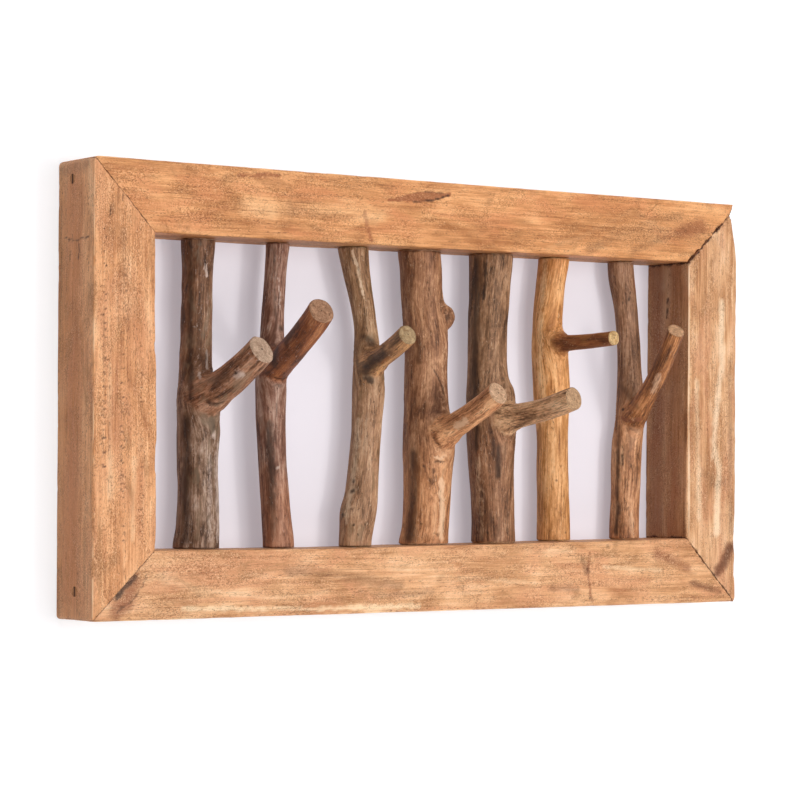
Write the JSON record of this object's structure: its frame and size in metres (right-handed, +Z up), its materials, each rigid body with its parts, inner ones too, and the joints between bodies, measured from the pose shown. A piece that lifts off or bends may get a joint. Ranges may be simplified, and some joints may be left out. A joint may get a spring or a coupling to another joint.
{
  "type": "wall coat rack",
  "caption": "Wooden wall coat rack: a mitred board frame holds a row of upright natural branches whose cut side shoots are the hooks.",
  "frame": {"origin": "middle of the top rail's back face, where the rack bears on the wall", "axes": "+X right along the rack as seen from the room, +Y into the wall, +Z up; the hooks point towards -Y"},
  "size_m": [0.6552, 0.1158, 0.35],
  "materials": {
    "frame_wood": "warm honey-tan board, brushed and waxed, with dark pores and fine speckle along the grain",
    "branch_1_wood": "dark grey-brown weathered branch, furrowed along its length, matt",
    "branch_2_wood": "dark reddish-brown smooth bark, matt",
    "branch_3_wood": "olive grey-tan weathered branch with a dark fork, matt",
    "branch_4_wood": "warm tan-brown weathered branch with dark furrows, matt",
    "branch_5_wood": "grey-brown furrowed branch, matt",
    "branch_6_wood": "golden honey debarked branch with a little reddish bark left on its shoot, satin",
    "branch_7_wood": "grey-brown weathered branch, tan towards its foot, matt",
    "plug_wood": "dark end-grain wood plug, sanded flush",
    "screw_steel": "bright zinc-plated wood screw",
    "hanger_steel": "zinc-plated pressed plate"
  },
  "bodies": {
    "root": {"top_rail": "frame_wood", "bottom_rail": "frame_wood", "left_stile": "frame_wood", "right_stile": "frame_wood", "branch_1": "branch_1_wood", "branch_2": "branch_2_wood", "branch_3": "branch_3_wood", "branch_4": "branch_4_wood", "branch_5": "branch_5_wood", "branch_6": "branch_6_wood", "branch_7": "branch_7_wood", "branch_screw_top_1": "screw_steel", "branch_screw_top_2": "screw_steel", "branch_screw_top_3": "screw_steel", "branch_screw_top_4": "screw_steel", "branch_screw_top_5": "screw_steel", "branch_screw_top_6": "screw_steel", "branch_screw_top_7": "screw_steel", "branch_screw_bottom_1": "screw_steel", "branch_screw_bottom_2": "screw_steel", "branch_screw_bottom_3": "screw_steel", "branch_screw_bottom_4": "screw_steel", "branch_screw_bottom_5": "screw_steel", "branch_screw_bottom_6": "screw_steel", "branch_screw_bottom_7": "screw_steel", "branch_plug_top_1": "plug_wood", "branch_plug_top_2": "plug_wood", "branch_plug_top_3": "plug_wood", "branch_plug_top_4": "plug_wood", "branch_plug_top_5": "plug_wood", "branch_plug_top_6": "plug_wood", "branch_plug_top_7": "plug_wood", "branch_plug_bottom_1": "plug_wood", "branch_plug_bottom_2": "plug_wood", "branch_plug_bottom_3": "plug_wood", "branch_plug_bottom_4": "plug_wood", "branch_plug_bottom_5": "plug_wood", "branch_plug_bottom_6": "plug_wood", "branch_plug_bottom_7": "plug_wood", "mitre_screw_top_left": "screw_steel", "mitre_screw_bottom_left": "screw_steel", "mitre_screw_top_right": "screw_steel", "mitre_screw_bottom_right": "screw_steel", "mitre_plug_top_left": "plug_wood", "mitre_plug_bottom_left": "plug_wood", "mitre_plug_top_right": "plug_wood", "mitre_plug_bottom_right": "plug_wood", "hanger_plate_left": "hanger_steel", "hanger_plate_right": "hanger_steel", "hanger_screw_left_upper": "screw_steel", "hanger_screw_left_lower": "screw_steel", "hanger_screw_right_upper": "screw_steel", "hanger_screw_right_lower": "screw_steel"}
  },
  "joints": []
}
